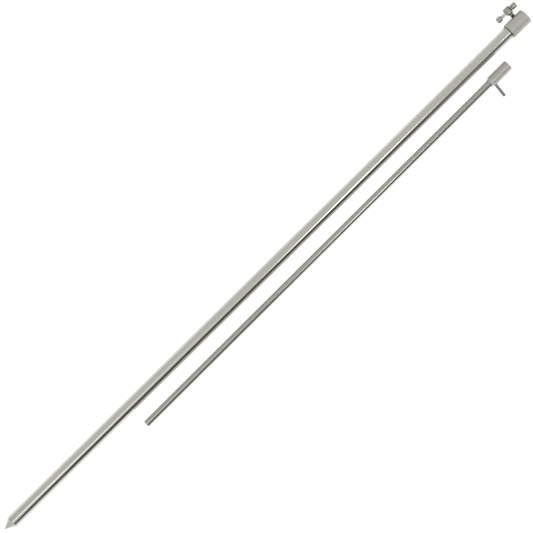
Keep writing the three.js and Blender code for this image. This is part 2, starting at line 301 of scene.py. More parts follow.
def eased(corners, closed=False):
    """The outline's rings, as an array of (place, radius).

    Each corner P with rounds that begin at P1 and end at P2 becomes the rational curve
    ((1-s)^2 P1 + 2ws(1-s) P + s^2 P2) / ((1-s)^2 + 2ws(1-s) + s^2), with w the sine of half the
    corner's angle. That is an arc of a circle, or of an ellipse where the two sides differ. A ring
    is held just outside each round, so that smooth shading doesn't bleed along the straights.
    """
    rows = np.array(corners, float)
    points, lengths = rows[:, :2], rows[:, 2:]
    if closed:
        here, before, after = points, np.roll(points, 1, 0), np.roll(points, -1, 0)
    else:
        here, before, after = points[1:-1], points[:-2], points[2:]
        lengths = lengths[1:-1]
    legs = np.stack([before - here, after - here], 1)
    leg_length = np.linalg.norm(legs, axis=2)
    towards = legs / leg_length[..., None]
    reach = np.minimum(lengths, ROUND_SHARE * leg_length)
    held = np.minimum(reach + HELD_RING, HELD_SHARE * leg_length)
    weight = np.sqrt((1 - (towards[:, 0] * towards[:, 1]).sum(1)) / 2)[:, None, None]
    start, end = (here + towards[:, k] * reach[:, k, None] for k in (0, 1))
    s = np.linspace(0, 1, ROUND_STEPS)[None, :, None]
    shares = (1 - s) ** 2, 2 * weight * s * (1 - s), s ** 2
    rounds = (shares[0] * start[:, None] + shares[1] * here[:, None]
              + shares[2] * end[:, None]) / sum(shares)
    rings = np.concatenate([(here + towards[:, 0] * held[:, 0, None])[:, None], rounds,
                            (here + towards[:, 1] * held[:, 1, None])[:, None]], 1).reshape(-1, 2)
    return rings if closed else np.vstack([points[0], rings, points[-1]])


plain_bar = eased([corner(0, 0), corner(0, 4), corner(50, 4), corner(50, 0)])
print("rings for a plain bar:", len(plain_bar))

# %% [markdown]
# The surface itself is a grid. One parameter runs along the outline and the other runs round the
# axis, and every point comes out of one array sum. An outline that starts and ends on the axis is
# closed there by a fan of triangles; one that comes back to its start, as a tube's does, is closed
# by joining its last ring to its first.

# %% Surface of revolution
SIDES = 192


def turned(name, outline, centre, along, sides=SIDES, closed=False, thread=None):
    """A turned piece as a new object.

    Its points are centre + x a + (r + thread(x, r, t)) (cos t b + sin t c), where x and r run along
    the outline, t runs once round, a is the axis and b and c stand square to it and each other.
    """
    a = np.array(along, float) / np.linalg.norm(along)
    b = np.cross([0, 0, 1.0], a)
    b /= np.linalg.norm(b)
    c = np.cross(a, b)
    t = np.linspace(0, 2 * np.pi, sides, endpoint=False)[None, :]
    x, r = outline[:, :1], outline[:, 1:]
    radius = r + (0 * t if thread is None else thread(x, r, t))
    around = np.cos(t)[..., None] * b + np.sin(t)[..., None] * c
    rings = np.array(centre) + x[..., None] * a + radius[..., None] * around
    j = np.arange(sides)
    k = np.arange(len(outline) if closed else len(outline) - 3)[:, None]
    first = 0 if closed else 1
    ring, next_ring = first + k * sides, first + (k + 1) % len(outline) * sides
    faces = np.stack(np.broadcast_arrays(ring + j, ring + (j + 1) % sides,
                                         next_ring + (j + 1) % sides, next_ring + j), -1)
    faces = faces.reshape(-1, 4).tolist()
    points = rings.reshape(-1, 3)
    if not closed:
        points = np.vstack([rings[0, 0], rings[1:-1].reshape(-1, 3), rings[-1, 0]])
        last_ring = 1 + (len(outline) - 3) * sides
        last_point = 0 * j + len(points) - 1
        faces += np.stack([0 * j, 1 + (j + 1) % sides, 1 + j], -1).tolist()
        faces += np.stack([last_ring + j, last_ring + (j + 1) % sides, last_point], -1).tolist()
    mesh = bpy.data.meshes.new(name)
    mesh.from_pydata(points * MM, [], faces)
    mesh.shade_smooth()
    piece = bpy.data.objects.new(name, mesh)
    bpy.context.scene.collection.objects.link(piece)
    return piece


print(f"a ring has {SIDES} sides, with {360 / SIDES:.2f} degrees between one and the next")

# %% [markdown]
# Each surface stands for one of the model's pieces, which is hidden. It moves with the body that
# the piece belongs to, so that the joints carry it.

# %% Finishing a piece
def finish_piece(piece, node, material):
    """Hides the model's piece that this one stands for, and gives it its body and its metal."""
    piece.data.materials.clear()
    piece.data.materials.append(material)
    body = next(b for b, nodes in frame["record"]["behaviour"]["bodies"].items() if node in nodes)
    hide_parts(node)
    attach(piece, body)
    low, high = np.array(piece.bound_box).min(0), np.array(piece.bound_box).max(0)
    print(f"{piece.name}: {len(piece.data.polygons)} faces, {np.round((high - low) / MM, 2)} mm")


# %% [markdown]
# ## Drilled and tapped holes
#
# A few pieces are also drilled from the side. A hole across a round bar meets its surface in a
# saddle curve, and the Boolean modifier finds that curve exactly. It is applied at once, and the
# rim is marked sharp so that the drill's edge stays crisp while the round wall stays smooth.

# %% Drilling
SMALL_SIDES = 128
SHARP_ANGLE_DEG = 28


def drill(piece, cutters):
    """Takes each cutter's volume out of the piece and deletes the cutter."""
    for cutter in cutters:
        modifier = piece.modifiers.new("hole", "BOOLEAN")
        modifier.operation = "DIFFERENCE"
        modifier.solver = "EXACT"
        modifier.object = cutter
    drilled = piece.evaluated_get(bpy.context.evaluated_depsgraph_get())
    result = bpy.data.meshes.new_from_object(drilled)
    piece.modifiers.clear()
    piece.data = result
    result.set_sharp_from_angle(angle=np.radians(SHARP_ANGLE_DEG))
    for cutter in cutters:
        bpy.data.objects.remove(cutter)


def drill_bit(corners, centre, along):
    """A cutter with plain corners, turned like any piece."""
    rows = np.array(corners, float)
    outline = np.vstack([[rows[0, 0], 0], rows, [rows[-1, 0], 0]])
    return turned("cutter", outline, centre, along, SMALL_SIDES)


print(f"a drilled wall bends {360 / SMALL_SIDES:.1f} degrees from face to face and stays smooth, "
      f"and an edge over {SHARP_ANGLE_DEG} degrees stays crisp")

# %% [markdown]
# ## Stainless steel, four ways
#
# Stainless steel reflects from a half to three quarters of the light that meets it, with hardly any
# colour. What tells one finish from another is how the surface was worked:
#
# - the tube, the spike, the rod and the tommy bar are polished along their length;
# - the collar and the head are turned and brought to a satin finish;
# - the knobs, the grip and the rod's foot plug are small, and turned nearly bright;
# - at the collar's foot, and where the stud meets the collar and the grip, shade is painted on.
#
# Lines and rings could be painted as a picture, but they follow the axis, so a noise that is read
# along one coordinate draws them anywhere without a seam. Real tool marks are a few hundredths of a
# millimetre apart, which no picture of a 920 mm stick can show, so they are drawn coarser.
#
# All of the metals share one graph: a colour between two shades, a roughness between two values,
# and the Principled shader at full metallic. A finish is the noise that drives it.

# %% Noise for tool marks, and the graph of a metal
NOISE_RANGE = (0.3, 0.7)


def streaks(tree, place, sizes, detail=3.0):
    """Noise whose patches measure sizes = (x, y, z) in millimetres."""
    scale = [1 / (size * MM) for size in sizes]
    stretched = add(tree, "ShaderNodeMapping", {"Vector": place, "Scale": scale})
    noise = add(tree, "ShaderNodeTexNoise", {"Vector": stretched.outputs[0], "Scale": 1.0,
                                             "Detail": detail})
    return noise.outputs[0]


def metal(tree, out, marks, colours, dulling, roughness, extra=None):
    """A metal's shader. marks mixes its two colours and dulling runs its roughness, as noise.

    The colour sockets of a Mix node are reached by number, as its sockets share their names.
    """
    colour = add(tree, "ShaderNodeMix", {0: marks, 6: linear(colours[0]), 7: linear(colours[1])},
                 data_type="RGBA")
    dullness = add(tree, "ShaderNodeMapRange", {
        "Value": dulling, "From Min": NOISE_RANGE[0], "From Max": NOISE_RANGE[1],
        "To Min": roughness[0], "To Max": roughness[1]})
    shader = add(tree, "ShaderNodeBsdfPrincipled", {
        "Metallic": 1.0, "Base Color": colour.outputs[2], "Roughness": dullness.outputs[0],
        **(extra or {})})
    tree.links.new(shader.outputs[0], out.inputs["Surface"])


print("noise from", NOISE_RANGE[0], "to", NOISE_RANGE[1], "covers a metal's whole roughness")

# %% [markdown]
# The tube and the rod are drawn and then polished along their length. They mirror the room, so a
# low roughness would be enough, but steel without a flaw looks like glass. Faint lines along the
# piece, a little haze in patches and a surface that swells by hundredths of a millimetre make it
# metal. The rod is a shade darker, and the pin was left as it was drawn, plainer and darker still.

# %% Polished tube, rod and pin
POLISHED_STEEL = "#CFCECA"
POLISHED_SHADE = "#C4C3BE"
ROD_STEEL = "#BAB9B5"
ROD_SHADE = "#AFAEA9"
PIN_STEEL = "#807F7C"
PIN_SHADE = "#6F6D69"
POLISHED_ROUGHNESS = (0.07, 0.14)
PIN_ROUGHNESS = (0.22, 0.3)
HAZE_PATCH = 25.0
LINE_SPACING = 0.35
LINE_LENGTH = 60.0
LINE_HEIGHT = 0.0006
WAVE_LENGTH = 90.0
WAVE_HEIGHT = 0.06


def polished_steel(name, colours, roughness=POLISHED_ROUGHNESS):
    """Drawn and polished stainless tube: a mirror with faint lengthwise lines and a little haze."""
    material, tree, out = new_material(name)
    place = add(tree, "ShaderNodeTexCoord").outputs["Object"]
    lines = streaks(tree, place, (LINE_LENGTH, LINE_SPACING, LINE_SPACING))
    haze = streaks(tree, place, (HAZE_PATCH,) * 3, detail=2.0)
    waves = streaks(tree, place, (WAVE_LENGTH,) * 3, detail=1.0)
    swell = add(tree, "ShaderNodeBump", {"Height": waves, "Distance": WAVE_HEIGHT * MM})
    grain = add(tree, "ShaderNodeBump", {"Height": lines, "Distance": LINE_HEIGHT * MM,
                                         "Normal": swell.outputs[0]})
    metal(tree, out, lines, colours, haze, roughness, {"Normal": grain.outputs[0]})
    return material


# The eye gets a clear mirror from the first two, and from the pin a grey with soft reflections
polished = polished_steel("polished_stainless_tube", (POLISHED_STEEL, POLISHED_SHADE))
polished_rod = polished_steel("polished_stainless_rod", (ROD_STEEL, ROD_SHADE))
drawn_pin = polished_steel("drawn_stainless_pin", (PIN_STEEL, PIN_SHADE), PIN_ROUGHNESS)
print("lines on the tube are", LINE_SPACING, "mm apart and about", LINE_LENGTH, "mm long")

# %% [markdown]
# The collar and the head came from the lathe and were brought to a satin finish. The tool leaves
# fine rings round the axis, which spread each reflection along the piece, so no lamp shows in them,
# but the shade of the dark card still does. Real rings as geometry would take millions of faces.
# The shader's anisotropy spreads the light in their place, and a shallow bump draws the few rings
# that can be seen.

# %% Satin turned steel
SATIN_STEEL = "#E7E6E2"
SATIN_SHADE = "#D9D8D4"
HEAD_STEEL = "#F0EFEB"
HEAD_SHADE = "#E2E1DD"
SATIN_ROUGHNESS = (0.72, 0.8)
HEAD_ROUGHNESS = (0.64, 0.72)
RING_SPACING = 0.4
RING_BREAK = 35.0
RING_HEIGHT = 0.003
RING_SPREAD = 0.7
HEAD_RING_SPREAD = 0.95
QUARTER_TURN = 0.25


def turned_steel(name, axis, colours, roughness, ring_height, ring_spread):
    """Turned stainless steel: fine rings round the X or Y axis spread its reflection along it."""
    material, tree, out = new_material(name)
    place = add(tree, "ShaderNodeTexCoord").outputs["Object"]
    rings = streaks(tree, place, [RING_SPACING if way == axis else RING_BREAK for way in "XYZ"])
    grooves = add(tree, "ShaderNodeBump", {"Height": rings, "Distance": ring_height * MM})
    tangent = add(tree, "ShaderNodeTangent", direction_type="RADIAL", axis=axis)
    metal(tree, out, rings, colours, rings, roughness, {
        "Normal": grooves.outputs[0], "Tangent": tangent.outputs[0],
        "Anisotropic": ring_spread, "Anisotropic Rotation": QUARTER_TURN})
    return material


# The eye gets a pale, even grey that darkens softly to one side; the head is a little clearer
satin = turned_steel("satin_turned_stainless", "X", (SATIN_STEEL, SATIN_SHADE), SATIN_ROUGHNESS,
                     RING_HEIGHT, RING_SPREAD)
satin_head = turned_steel("satin_turned_stainless_head", "X", (HEAD_STEEL, HEAD_SHADE),
                          HEAD_ROUGHNESS, RING_HEIGHT, HEAD_RING_SPREAD)
print("rings on", satin.name, "are", RING_SPACING, "mm apart")

# %% [markdown]
# The knobs, the screw's grip and the foot plug are small. A sharp tool takes them down in one cut,
# which leaves hardly any rings, so they are the same steel with a lower roughness. The screw's axis
# lies along Y and the others' along X, and rings have to run round the right one. Two materials say
# so plainly, where one would have to look up which piece it is on.

# %% Bright turned steel
BRIGHT_STEEL = "#B8B7B0"
BRIGHT_SHADE = "#A09F97"
BRIGHT_ROUGHNESS = (0.12, 0.18)
BRIGHT_RING_HEIGHT = 0.001
BRIGHT_RING_SPREAD = 0.7

# The eye gets a small, strong gleam, drawn out along the piece
bright_along, bright_across = (
    turned_steel(name, axis, (BRIGHT_STEEL, BRIGHT_SHADE), BRIGHT_ROUGHNESS, BRIGHT_RING_HEIGHT,
                 BRIGHT_RING_SPREAD)
    for name, axis in (("bright_turned_stainless", "X"), ("bright_turned_stainless_screw", "Y")))
print("roughness of", bright_along.name, "from", *BRIGHT_ROUGHNESS)

# %% [markdown]
# The hollow at the collar's foot is given a painted shade, which draws the dark line where the
# collar meets the tube. The stud gets painted shade too, where it meets the collar and under the
# grip. These places belong to a piece that is bright elsewhere. They could be painted by their
# height in the material, but a piece can hold more than one metal, so the faces between two places
# on its axis are given the dark one.

# %% Painted shade
# Colours of the painted shade in the collar's hollow and on the stud
COVE_SHADE_DARK = "#4F4E46"
COVE_SHADE_LIGHT = "#6F6D62"
STUD_SHADE_DARK = "#48463B"
STUD_SHADE_LIGHT = "#757365"
DARKENED_ROUGHNESS = (0.3, 0.45)
DARKENED_PATCH = 1.5


def painted_shade_steel(name, dark, light):
    """Painted shade on steel in a corner or by a joint: darkened in small patches."""
    material, tree, out = new_material(name)
    place = add(tree, "ShaderNodeTexCoord").outputs["Object"]
    patches = streaks(tree, place, (DARKENED_PATCH,) * 3)
    metal(tree, out, patches, (dark, light), patches, DARKENED_ROUGHNESS)
    return material


def refinish(piece, material, foot, along, *stretches):
    """Gives the faces on these stretches (start, end) of the piece's axis another metal."""
    piece.data.materials.append(material)
    for face in piece.data.polygons:
        place = (np.array(face.center) / MM - foot) @ along
        if any(start < place < end for start, end in stretches):
            face.material_index = len(piece.data.materials) - 1


# Painted shade: a dull dark line in the hollow, and dark steel at the stud's two ends
cove_shade = painted_shade_steel("cove_painted_shade", COVE_SHADE_DARK, COVE_SHADE_LIGHT)
stud_shade = painted_shade_steel("stud_painted_shade", STUD_SHADE_DARK, STUD_SHADE_LIGHT)
print("patches on", cove_shade.name, "are", DARKENED_PATCH, "mm across")

# %% [markdown]
# The pad inside the clamp is turned brass, which is softer than steel and so can't mark the rod. It
# has the lathe's rings too. No lamp reaches it in there, so the drawn-out gleam of the turned steel
# can be left off, and it is the plain graph of a metal with a bump.

# %% Turned brass
BRASS = "#D9B469"
BRASS_SHADE = "#B8914B"
BRASS_ROUGHNESS = (0.26, 0.36)


def turned_brass():
    """Turned brass, a little dulled: a warm yellow with soft reflections."""
    material, tree, out = new_material("turned_brass")
    place = add(tree, "ShaderNodeTexCoord").outputs["Object"]
    rings = streaks(tree, place, (RING_BREAK, RING_SPACING, RING_BREAK))
    grooves = add(tree, "ShaderNodeBump", {"Height": rings, "Distance": RING_HEIGHT * MM})
    metal(tree, out, rings, (BRASS, BRASS_SHADE), rings, BRASS_ROUGHNESS,
          {"Normal": grooves.outputs[0]})
    return material


brass = turned_brass()
print("materials:", ", ".join(m.name for m in (
    polished, polished_rod, drawn_pin, satin, satin_head, bright_along, bright_across, cove_shade,
    stud_shade, brass)))

# %% [markdown]
# ## The outer stick
#
# The tube comes first, as everything else is set out from it: its axis is the axis of the spike and
# of the collar. Only its outside shows, so a plain cylinder would do for the picture, but the rod
# goes down it, and the real one has a bore. An outline that comes back to its start gives the
# outside, the bore and all four rims at once.
#
# Places are measured from each piece's own low end, so an outline reads like a turner's drawing.

# %% Tube
TUBE_WALL = 1.2
TUBE_EDGE = 0.15
TUBE_FOOT_EDGE = 0.08
AXIS = (1, 0, 0)

tube_radius = (tube_high[1] - tube_low[1]) / 2
tube_length = tube_high[0] - tube_low[0]


def foot_of(node):
    """The low end of a piece whose axis runs along X, on that axis."""
    low, _, centre = box_mm(node)
    return np.array([low[0], centre[1], centre[2]])


tube_bore = tube_radius - TUBE_WALL
tube = turned("polished_tube", eased([
    corner(0, tube_bore, TUBE_EDGE),
    corner(0, tube_radius, TUBE_FOOT_EDGE),
    corner(tube_length, tube_radius, TUBE_EDGE),
    corner(tube_length, tube_bore, TUBE_EDGE),
], closed=True), foot_of("outer_tube"), AXIS, closed=True)
finish_piece(tube, "outer_tube", polished)

# %% [markdown]
# The spike is a solid plug turned from bar: a short cone with a blunted tip, a land as wide as the
# tube, and behind it a spigot that is pressed into the tube. The two are polished as one. The fine
# line round the stick, 18.5 mm from its tip, is where the land meets the tube. It could be drawn
# as a dark ring, but the two tiny edge rounds that meet there draw it as they do on the real one.

# %% Spike
CONE_LENGTH = 13.0
CONE_TO_LAND_ROUND = 0.8
LAND_JOINT = 0.02
LAND_EDGE = 0.08
TIP_RADIUS = 0.5
SPIGOT_GAP = 0.25
SPIGOT_CHAMFER = 1.0

spike_length = spike_high[0] - spike_low[0]
spigot = tube_bore - SPIGOT_GAP
shoulder = tube_low[0] - spike_low[0] - LAND_JOINT
spike = turned("spike", eased([
    corner(0, 0),
    corner(0, TIP_RADIUS, TIP_RADIUS, TIP_RADIUS),
    corner(CONE_LENGTH, tube_radius, CONE_TO_LAND_ROUND),
    corner(shoulder, tube_radius, LAND_EDGE),
    corner(shoulder, spigot),
    corner(spike_length - SPIGOT_CHAMFER, spigot),
    corner(spike_length, spigot - SPIGOT_CHAMFER),
    corner(spike_length, 0),
]), foot_of("spike_point"), AXIS)
finish_piece(spike, "spike_point", polished)

# %% [markdown]
# The collar is brazed over the tube's top. Its foot is drawn out into a thin skirt, and a hollow
# curve leads from there to the full radius. A plain step would be simpler, but the hollow turns
# through every slope between level and upright, as a fillet of braze does. It is given a painted
# shade, which is the dark line across the stick below the collar.
#
# A quarter of an ellipse is well matched by two corners that lie on its tangents, at tan(22.5
# degrees). The rod's head has such a foot too, so a function gives the corners of both.

# %% A foot with a skirt and a hollow
COVE_LENGTH = 1.5
FOOT_CHAMFER = 0.4
SKIRT_INNER_EDGE = 0.05
SKIRT_OUTER_EDGE = 0.15
CHAMFER_EDGE = 0.25


def skirted_foot(bore, outer, wall, skirt):
    """Corners of a foot: the bore's rim, a thin skirt, a hollow, and a chamfer out to the body."""
    near = np.tan(np.pi / 8)
    low, high = bore + wall, outer - FOOT_CHAMFER
    rise = high - low
    top = skirt + COVE_LENGTH
    return [corner(0, bore, SKIRT_INNER_EDGE), corner(0, low, SKIRT_OUTER_EDGE),
            corner(skirt + near * COVE_LENGTH, low, near * COVE_LENGTH, COVE_LENGTH),
            corner(top, high - near * rise, COVE_LENGTH, near * rise),
            corner(top, high, FINE_EDGE),
            corner(top + FOOT_CHAMFER, outer, CHAMFER_EDGE)]


collar_low, collar_high, collar_centre = box_mm("collar")
collar_radius = (collar_high[1] - collar_low[1]) / 2
collar_length = collar_high[0] - collar_low[0]
print(f"collar: {2 * collar_radius:.1f} mm across and {collar_length:.1f} mm long")

# %% [markdown]
# Above the foot the collar is a plain ring. Its lower half is counterbored for the tube, and its
# upper half guides the rod, so its bore has two widths. Two tubes joined would show the same, but
# the real collar is one piece, and its outline runs through both bores and back to its start.

# %% Collar
SOCKET_DEPTH = 14.7
SOCKET_GAP = 0.25
GUIDE_RADIUS = 4.8
SKIRT_LENGTH = 1.7
SKIRT_WALL = 0.35
TOP_CHAMFER = 0.8
MOUTH_CHAMFER = 0.6

collar_socket = tube_radius + SOCKET_GAP
collar = turned("collar_ring", eased([
    *skirted_foot(collar_socket, collar_radius, SKIRT_WALL, SKIRT_LENGTH),
    corner(collar_length - TOP_CHAMFER, collar_radius, CHAMFER_EDGE),
    corner(collar_length, collar_radius - TOP_CHAMFER),
    corner(collar_length, GUIDE_RADIUS + MOUTH_CHAMFER),
    corner(collar_length - MOUTH_CHAMFER, GUIDE_RADIUS),
    corner(SOCKET_DEPTH, GUIDE_RADIUS),
    corner(SOCKET_DEPTH, collar_socket),
], closed=True), foot_of("collar"), AXIS, closed=True)
print("faces before drilling:", len(collar.data.polygons))

# %% [markdown]
# From the collar's side a hole is drilled for the clamp screw, and countersunk at its mouth. Where
# the screw stands along the collar is read from the model's own screw.
#
# The skirt, the hollow and the satin body are one turned piece with three finishes, the hollow's
# being painted shade, so two stretches of its axis are given a metal of their own.

# %% The screw's hole, and the collar's finishes
SCREW_HOLE_RADIUS = 3.3
COUNTERSINK = 0.5
OVERRUN = 2.0
OUTWARDS = (0, 1, 0)

screw_low, screw_high, screw_centre = box_mm("clamp_screw")
screw_on_axis = np.array([screw_centre[0], collar_centre[1], screw_centre[2]])
countersink_end = collar_radius + OVERRUN
drill(collar, [drill_bit([
    (GUIDE_RADIUS - OVERRUN, SCREW_HOLE_RADIUS),
    (collar_radius - 2 * COUNTERSINK, SCREW_HOLE_RADIUS),
    (countersink_end, SCREW_HOLE_RADIUS + countersink_end - collar_radius + 2 * COUNTERSINK),
], screw_on_axis, OUTWARDS)])
finish_piece(collar, "collar", satin)
refinish(collar, polished, foot_of("collar"), AXIS, (0, SKIRT_LENGTH))
# The hollow at the collar's foot gets the painted shade
refinish(collar, cove_shade, foot_of("collar"), AXIS, (SKIRT_LENGTH, SKIRT_LENGTH + COVE_LENGTH))

# %% [markdown]
# ## The clamp
#
# The clamp screw is one turned piece, an M6 stud with a rounded grip, and its thread has to be a
# real one, because the screw moves 1 mm for each turn. A thread could be a small profile swept
# along a helix and joined to a core, but where such a sweep starts and ends it needs cutting and
# capping. It is simpler to see it as a shaft whose radius changes: the cut at place x and turn t
# depends only on x / pitch - t / 360 degrees, and it fades out at both ends as a real one does.

# %% Threads
THREAD_RINGS = 20
CREST_AND_ROOT = 1.25
STUD_RADIUS = 3.0
STUD_PITCH = 1.0
STUD_THREAD_DEPTH = 0.6


def helix(shaft, start, end, pitch, depth, runout):
    """The change of radius of a right-handed thread on a shaft or bore of that radius.

    A cosine wave of x / pitch - t / (2 pi), steepened and clipped so that it has flat crests and
    roots, times the depth, times a smooth step up over the run-out at each end.
    """
    def change(x, r, t):
        wave = 0.5 - 0.5 * CREST_AND_ROOT * np.cos(2 * np.pi * (x / pitch) - t)
        rise = np.clip((x - start) / runout, 0, 1) * np.clip((end - x) / runout, 0, 1)
        cut = depth * np.clip(wave, 0, 1) * rise ** 2 * (3 - 2 * rise)
        return np.where(np.isclose(r, shaft), cut, 0)
    return change


def ringed(outline, radius, pitch):
    """Splits the outline's longest straight at that radius into rings, 20 for each pitch."""
    level = np.isclose(outline[:-1, 1], radius) & np.isclose(outline[1:, 1], radius)
    lengths = np.where(level, np.abs(np.diff(outline[:, 0])), 0)
    k = int(np.argmax(lengths))
    share = np.linspace(0, 1, int(THREAD_RINGS * lengths[k] / pitch))[1:-1, None]
    return np.insert(outline, k + 1, outline[k] * (1 - share) + outline[k + 1] * share, axis=0)


one_pitch = np.arange(2, 3.1, 0.25) * STUD_PITCH
depth_at = helix(STUD_RADIUS, 0, 5 * STUD_PITCH, STUD_PITCH, STUD_THREAD_DEPTH, STUD_PITCH)
print("depth of the stud's cut over one pitch:", np.round(depth_at(one_pitch, STUD_RADIUS, 0), 2))

# %% [markdown]
# The stud's tip is bored for the pad's stem, and at its other end the grip swells out in a quarter
# of an ellipse. Stud and grip are one outline, so nothing has to be joined, and only the straight
# at the stud's own radius gets the extra rings that the thread needs.

# %% Clamp screw
STUD_TIP_CHAMFER = 0.5
STUD_TIP = 6.25
STUD_SHOWING = 4.9
STUD_THREAD_STOP = 0.5
STEM_BORE_RADIUS = 1.5
STEM_BORE_END = 9.3
GRIP_LENGTH = 10.2
GRIP_FOOT_ROUND = 3.0
GRIP_TOP_ROUND = 2.0

grip_radius = (screw_high[0] - screw_low[0]) / 2
grip_foot = collar_radius + STUD_SHOWING
grip_top = grip_foot + GRIP_LENGTH
stud_outline = eased([
    corner(STEM_BORE_END, 0),
    corner(STEM_BORE_END, STEM_BORE_RADIUS),
    corner(STUD_TIP, STEM_BORE_RADIUS),
    corner(STUD_TIP, STUD_RADIUS - STUD_TIP_CHAMFER),
    corner(STUD_TIP + STUD_TIP_CHAMFER, STUD_RADIUS, FINE_EDGE),
    corner(grip_foot, STUD_RADIUS, FINE_EDGE),
    corner(grip_foot, grip_radius, grip_radius - STUD_RADIUS, GRIP_FOOT_ROUND),
    corner(grip_top, grip_radius, GRIP_TOP_ROUND),
    corner(grip_top, 0),
])
cut_into_stud = helix(STUD_RADIUS, STUD_TIP + STUD_TIP_CHAMFER, grip_foot - STUD_THREAD_STOP,
                      STUD_PITCH, -STUD_THREAD_DEPTH, STUD_PITCH)
screw = turned("clamp_screw_m6", ringed(stud_outline, STUD_RADIUS, STUD_PITCH),
               screw_on_axis, OUTWARDS, thread=cut_into_stud)
print(f"grip: {2 * grip_radius:.1f} mm across, {STUD_SHOWING} mm clear of the collar")

# %% [markdown]
# The grip is bored across for the tommy bar, and on top, square to that bore, it has a shallow
# round dimple, which is the small ring that shows from above. The dimple is cut with a ball, since
# a ball of radius (a^2 + d^2) / 2d leaves one that is d deep and has a rim of radius a.

# %% Bar bore, dimple and the screw's finishes
BAR_ABOVE_GRIP_FOOT = 4.6
BAR_BORE_RADIUS = 2.3
DIMPLE_RADIUS = 2.1
DIMPLE_DEPTH = 0.6
# How far the painted shade reaches on the stud by the collar, and round the grip's foot
STUD_SHADE_REACH = 2.0
GRIP_FOOT_SHADE = 0.6

bar_axis = screw_on_axis + [0, grip_foot + BAR_ABOVE_GRIP_FOOT, 0]
mouth = grip_radius - COUNTERSINK
past = grip_radius + OVERRUN
bar_bore = drill_bit([
    (-past, BAR_BORE_RADIUS + past - mouth), (-mouth, BAR_BORE_RADIUS),
    (mouth, BAR_BORE_RADIUS), (past, BAR_BORE_RADIUS + past - mouth),
], bar_axis, AXIS)
ball_radius = (DIMPLE_RADIUS ** 2 + DIMPLE_DEPTH ** 2) / (2 * DIMPLE_DEPTH)
grip_at_rim = np.sqrt(grip_radius ** 2 - DIMPLE_RADIUS ** 2)
ball_turn = np.linspace(0, np.pi, SMALL_SIDES // 2)[1:-1]
ball = drill_bit(np.stack([-np.cos(ball_turn), np.sin(ball_turn)], 1) * ball_radius,
                 bar_axis + [0, 0, grip_at_rim - DIMPLE_DEPTH + ball_radius], AXIS)
drill(screw, [bar_bore, ball])
finish_piece(screw, "clamp_screw", bright_across)
# Painted shade on the stud by the collar and round the grip's foot
refinish(screw, stud_shade, screw_on_axis, OUTWARDS, (0, collar_radius + STUD_SHADE_REACH),
         (grip_foot - GRIP_FOOT_SHADE, grip_foot + GRIP_FOOT_SHADE))

# %% [markdown]
# In the tip of the screw sits a small brass pad. It swivels on its stem, so that it stands still on
# the rod while the screw turns behind it. It can't be seen from outside, and could be left out, but
# then the clamp would press with a bare thread. Being small it needs fewer sides.

# %% Thrust pad
PAD_THICKNESS = 1.0
PAD_STEM_RADIUS = 1.2
PAD_EDGE = 0.2

pad_low, pad_high, pad_centre = box_mm("thrust_pad")
pad_radius = (pad_high[0] - pad_low[0]) / 2
pad_length = pad_high[1] - pad_low[1]
pad = turned("brass_thrust_pad", eased([
    corner(0, 0),
    corner(0, pad_radius, PAD_EDGE),
    corner(PAD_THICKNESS, pad_radius, FINE_EDGE),
    corner(PAD_THICKNESS, PAD_STEM_RADIUS, FINE_EDGE),
    corner(pad_length, PAD_STEM_RADIUS, PAD_EDGE),
    corner(pad_length, 0),
]), [pad_centre[0], pad_low[1], pad_centre[2]], OUTWARDS, SMALL_SIDES)
finish_piece(pad, "thrust_pad", brass)

# %% [markdown]
# The tommy bar hangs loose in the grip, and a knob pressed on each end keeps it there. Bar and
# knobs could be one outline, but the real ones are three pieces, the bar polished and the knobs
# turned. The knobs are alike and face each other, so one loop makes both, the lower one turned
# about.

# %% Tommy bar and knobs
BAR_EDGE = 0.35
KNOB_BORE_DEPTH = 5.5
KNOB_BORE_GAP = 0.25
KNOB_OUTER_ROUND = 1.5
KNOB_INNER_CHAMFER = 1.0

bar_low, bar_high, _ = box_mm("tommy_bar")
bar_radius = (bar_high[1] - bar_low[1]) / 2
bar_length = bar_high[0] - bar_low[0]
bar = turned("tommy_bar_rod", eased([
    corner(0, 0),
    corner(0, bar_radius, BAR_EDGE),
    corner(bar_length, bar_radius, BAR_EDGE),
    corner(bar_length, 0),
]), foot_of("tommy_bar"), AXIS, SMALL_SIDES)
finish_piece(bar, "tommy_bar", polished)

for node, outwards in (("bar_knob_upper", 1), ("bar_knob_lower", -1)):
    knob_low, knob_high, knob_centre = box_mm(node)
    knob_length = knob_high[0] - knob_low[0]
    knob_radius = (knob_high[1] - knob_low[1]) / 2
    knob_bore = bar_radius + KNOB_BORE_GAP
    knob = turned(f"knob_{node.split('_')[-1]}", eased([
        corner(KNOB_BORE_DEPTH, 0),
        corner(KNOB_BORE_DEPTH, knob_bore),
        corner(0, knob_bore),
        corner(0, knob_radius - KNOB_INNER_CHAMFER),
        corner(KNOB_INNER_CHAMFER, knob_radius),
        corner(knob_length, knob_radius, KNOB_OUTER_ROUND),
        corner(knob_length, 0),
    ]), knob_centre - [outwards * knob_length / 2, 0, 0], (outwards, 0, 0))
    finish_piece(knob, node, bright_along)

# %% [markdown]
# ## The inner rod
#
# The rod is a thinner tube with its foot plugged, and a wider head brazed on. It lies nearly along
# the tube but not quite, on the axis of the joint that slides it. Its pieces could be made square
# and turned afterwards, but the surface of revolution takes any axis, and with that no object has
# to be turned at all.

# %% Where the rod lies
slide = next(j for j in frame["record"]["behaviour"]["joints"] if j["name"] == "rod_slide")
rod_axis = np.array(slide["axis"])


